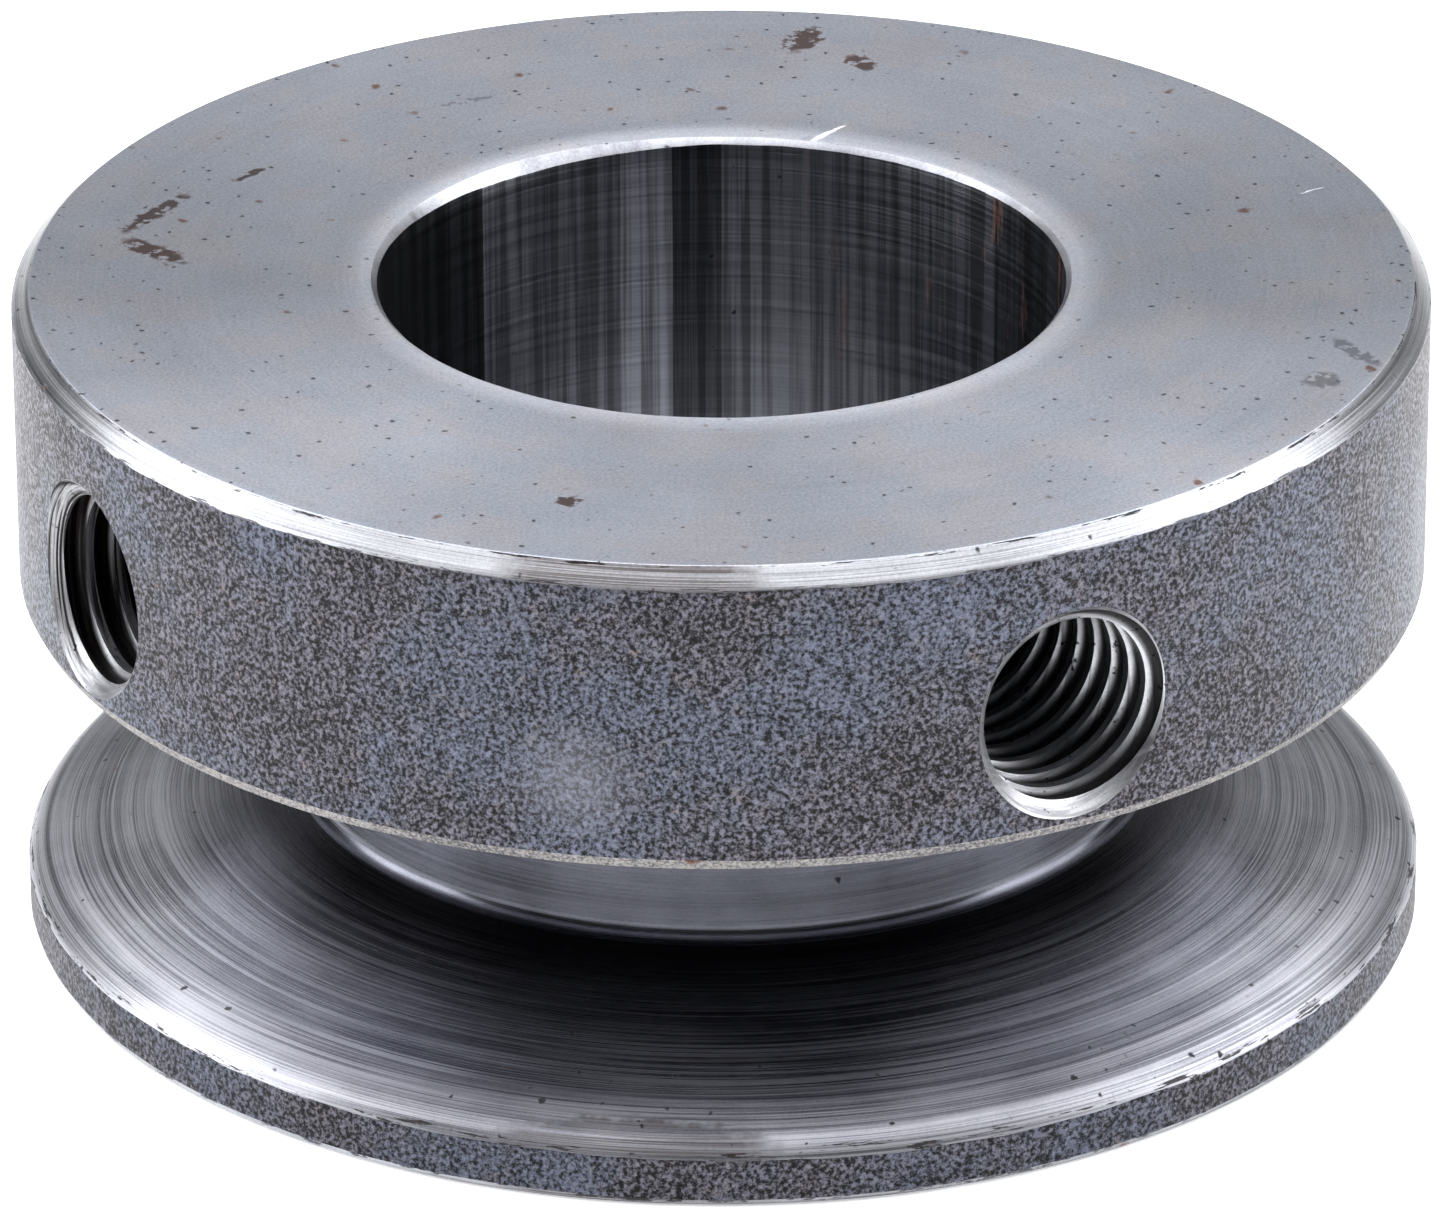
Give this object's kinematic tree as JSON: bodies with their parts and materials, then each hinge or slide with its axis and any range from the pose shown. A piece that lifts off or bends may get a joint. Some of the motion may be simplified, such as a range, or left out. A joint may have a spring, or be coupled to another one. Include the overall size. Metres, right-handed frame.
{
  "type": "v belt pulley",
  "caption": "Small steel V-belt pulley with one groove, a thick screw-carrying flange, a through bore and radial grub screws.",
  "frame": {"origin": "on the pulley's axis, at the outer face of its thin flange, on which it stands", "axes": "+Z along the pulley's axis towards the thick flange; the tapped holes and their screws point along -Y and -X"},
  "size_m": [0.066, 0.066, 0.0314],
  "materials": {
    "turned_bar_steel": "turned bare steel, with the bar's dark rolled skin left on both rims",
    "blackened_screw_steel": "black oxide on hardened steel"
  },
  "bodies": {
    "pulley": {"pulley_body": "turned_bar_steel"},
    "front_screw": {"grub_screw_front": "blackened_screw_steel"},
    "left_screw": {"grub_screw_left": "blackened_screw_steel"}
  },
  "joints": [
    {"name": "front_screw_travel", "type": "slide", "parent": "pulley", "child": "front_screw", "axis": [0, -1, 0], "range_m": [0, 0.012]},
    {"name": "left_screw_travel", "type": "slide", "parent": "pulley", "child": "left_screw", "axis": [-1, 0, 0], "range_m": [0, 0.012]}
  ]
}
